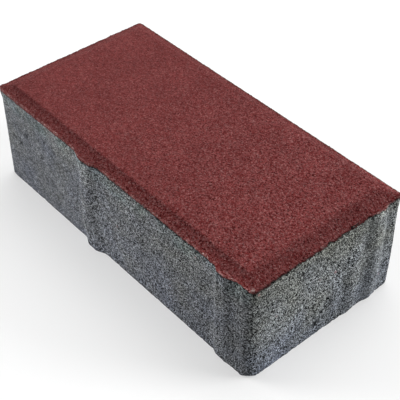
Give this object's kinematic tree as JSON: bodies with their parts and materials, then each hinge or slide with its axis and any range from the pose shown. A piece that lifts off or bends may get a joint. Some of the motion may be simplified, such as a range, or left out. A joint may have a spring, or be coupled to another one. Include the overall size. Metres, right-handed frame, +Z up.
{
  "type": "concrete paving block",
  "caption": "Rectangular two-layer concrete paving block: pigmented facing with a bevelled edge on a grey core, with upright spacer nibs on two adjacent sides.",
  "frame": {"origin": "centre of the bed face's rectangle, nibs left out", "axes": "+X along the block's length, towards the end with a nib; +Y across it, away from the side with two nibs; +Z up, towards the wearing surface"},
  "size_m": [0.1975, 0.0975, 0.06],
  "materials": {
    "red_facing": "pigmented fine sandy concrete, matt",
    "grey_concrete": "open-grained semi-dry concrete, matt"
  },
  "bodies": {
    "root": {"face_layer": "red_facing", "core_block": "grey_concrete"}
  },
  "joints": []
}
